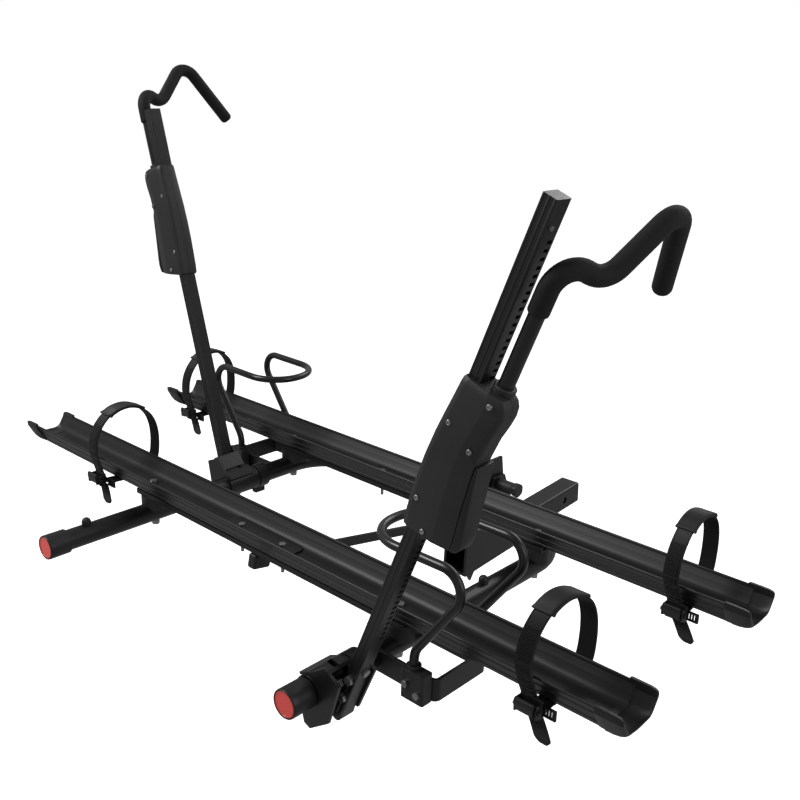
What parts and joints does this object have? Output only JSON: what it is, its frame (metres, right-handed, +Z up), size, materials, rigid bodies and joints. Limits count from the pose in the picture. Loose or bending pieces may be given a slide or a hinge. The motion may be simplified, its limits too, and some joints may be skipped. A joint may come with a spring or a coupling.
{
  "type": "hitch mounted bike rack",
  "caption": "Tilting platform bike rack for a car's hitch receiver, with V trays, wheel hoops, ratchet straps and folding arms carrying sliding padded hooks.",
  "frame": {"origin": "centre of the hitch pin bore through the receiver shank", "axes": "+X across the car and along the wheel trays, +Y towards the car, +Z up"},
  "size_m": [1.464, 1.2116, 1.053],
  "materials": {
    "black_steel": "satin powder coat",
    "black_aluminium": "black anodised, satin",
    "black_plastic": "fine grained",
    "black_rubber": "matt",
    "black_foam": "matt closed cell foam",
    "dark_fastener": "black zinc",
    "red_reflector": "prismatic red lens"
  },
  "bodies": {
    "receiver": {"shank": "black_steel", "pivot_bracket": "black_steel", "pivot_bolt": "dark_fastener", "catch_pin": "dark_fastener"},
    "tilt_knob": {"tilt_knob": "black_plastic"},
    "rack": {"side_tube_right": "black_steel", "side_tube_left": "black_steel", "cross_tube": "black_steel", "hoop_front": "black_steel", "hoop_rear": "black_steel", "hoop_bracket_front": "black_steel", "hoop_bracket_rear": "black_steel", "tilt_lugs": "black_steel", "stop_collars": "black_steel", "tray_front": "black_aluminium", "tray_rear": "black_aluminium", "tray_carriers": "black_aluminium", "joiner_plates": "black_aluminium", "end_caps": "black_plastic", "tray_saddles": "black_plastic", "tray_end_trims": "black_plastic", "hoop_clamps": "black_plastic", "strap_buckles": "black_plastic", "reflectors": "red_reflector", "bumpers": "black_rubber", "strap_sleeves": "black_rubber", "strap_front_left": "black_rubber", "strap_front_right": "black_rubber", "strap_rear_left": "black_rubber", "strap_rear_right": "black_rubber", "tray_bolts": "dark_fastener", "joiner_bolts": "dark_fastener", "clamp_bolts": "dark_fastener"},
    "release": {"release_bar": "black_steel", "release_grip": "black_plastic"},
    "buckle_front_left": {"buckle_lever_front_left": "black_plastic"},
    "buckle_front_right": {"buckle_lever_front_right": "black_plastic"},
    "buckle_rear_left": {"buckle_lever_rear_left": "black_plastic"},
    "buckle_rear_right": {"buckle_lever_rear_right": "black_plastic"},
    "arm_right": {"arm_hub_right": "black_steel", "arm_rail_right": "black_steel", "arm_bolts_right": "dark_fastener"},
    "pedal_right": {"fold_pedal_right": "black_steel"},
    "hook_right": {"slider_front_right": "black_plastic", "slider_back_right": "black_plastic", "slider_screws_right": "dark_fastener", "hook_tube_right": "black_steel", "hook_foam_right": "black_foam"},
    "grip_right": {"hook_lever_right": "black_plastic"},
    "arm_left": {"arm_hub_left": "black_steel", "arm_rail_left": "black_steel", "arm_bolts_left": "dark_fastener"},
    "pedal_left": {"fold_pedal_left": "black_steel"},
    "hook_left": {"slider_front_left": "black_plastic", "slider_back_left": "black_plastic", "slider_screws_left": "dark_fastener", "hook_tube_left": "black_steel", "hook_foam_left": "black_foam"},
    "grip_left": {"hook_lever_left": "black_plastic"}
  },
  "joints": [
    {"name": "tilt", "type": "hinge", "parent": "receiver", "child": "rack", "pos_m": [0, -0.283, 0.13], "axis": [-1, 0, 0], "range_deg": [-20, 80]},
    {"name": "tilt_knob_turn", "type": "hinge", "parent": "receiver", "child": "tilt_knob", "pos_m": [0.054, -0.283, 0.13], "axis": [1, 0, 0], "range_deg": [-180, 180]},
    {"name": "release_pull", "type": "hinge", "parent": "rack", "child": "release", "pos_m": [0, -0.415, 0.071], "axis": [1, 0, 0], "range_deg": [0, 4], "stiffness_Nm_per_rad": 30, "springref_deg": -11.46},
    {"name": "buckle_front_left_open", "type": "hinge", "parent": "rack", "child": "buckle_front_left", "pos_m": [-0.4318, -0.9779, 0.201], "axis": [1, 0, 0], "range_deg": [0, 95], "stiffness_Nm_per_rad": 0.03, "springref_deg": -28.65},
    {"name": "buckle_front_right_open", "type": "hinge", "parent": "rack", "child": "buckle_front_right", "pos_m": [0.60264, -0.9779, 0.201], "axis": [1, 0, 0], "range_deg": [0, 95], "stiffness_Nm_per_rad": 0.03, "springref_deg": -28.65},
    {"name": "buckle_rear_left_open", "type": "hinge", "parent": "rack", "child": "buckle_rear_left", "pos_m": [-0.6272, -0.6214, 0.201], "axis": [1, 0, 0], "range_deg": [0, 95], "stiffness_Nm_per_rad": 0.03, "springref_deg": -28.65},
    {"name": "buckle_rear_right_open", "type": "hinge", "parent": "rack", "child": "buckle_rear_right", "pos_m": [0.62024, -0.6214, 0.201], "axis": [1, 0, 0], "range_deg": [0, 95], "stiffness_Nm_per_rad": 0.03, "springref_deg": -28.65},
    {"name": "arm_right_fold", "type": "hinge", "parent": "rack", "child": "arm_right", "pos_m": [0.324, -1.065, 0.151], "axis": [0, -1, 0], "range_deg": [-8.6, 99.4]},
    {"name": "hook_right_slide", "type": "slide", "parent": "arm_right", "child": "hook_right", "axis": [0.3649, 0, 0.9311], "range_m": [-0.25, 0.185]},
    {"name": "hook_right_release", "type": "hinge", "parent": "hook_right", "child": "grip_right", "pos_m": [0.56738, -1.063, 0.55827], "axis": [0, 1, 0], "range_deg": [0, 7], "stiffness_Nm_per_rad": 1, "springref_deg": -14.32},
    {"name": "pedal_right_press", "type": "hinge", "parent": "arm_right", "child": "pedal_right", "pos_m": [0.30641, -1.0905, 0.11708], "axis": [0, 1, 0], "range_deg": [0, 12], "stiffness_Nm_per_rad": 0.5, "springref_deg": -17.19},
    {"name": "arm_left_fold", "type": "hinge", "parent": "rack", "child": "arm_left", "pos_m": [-0.324, -0.7085, 0.151], "axis": [0, 1, 0], "range_deg": [-13.3, 94.7]},
    {"name": "hook_left_slide", "type": "slide", "parent": "arm_left", "child": "hook_left", "axis": [-0.2874, 0, 0.9578], "range_m": [-0.355, 0.08]},
    {"name": "hook_left_release", "type": "hinge", "parent": "hook_left", "child": "grip_left", "pos_m": [-0.56423, -0.7065, 0.68029], "axis": [0, -1, 0], "range_deg": [0, 7], "stiffness_Nm_per_rad": 1, "springref_deg": -14.32},
    {"name": "pedal_left_press", "type": "hinge", "parent": "arm_left", "child": "pedal_left", "pos_m": [-0.30925, -0.734, 0.11575], "axis": [0, -1, 0], "range_deg": [0, 12], "stiffness_Nm_per_rad": 0.5, "springref_deg": -17.19}
  ]
}
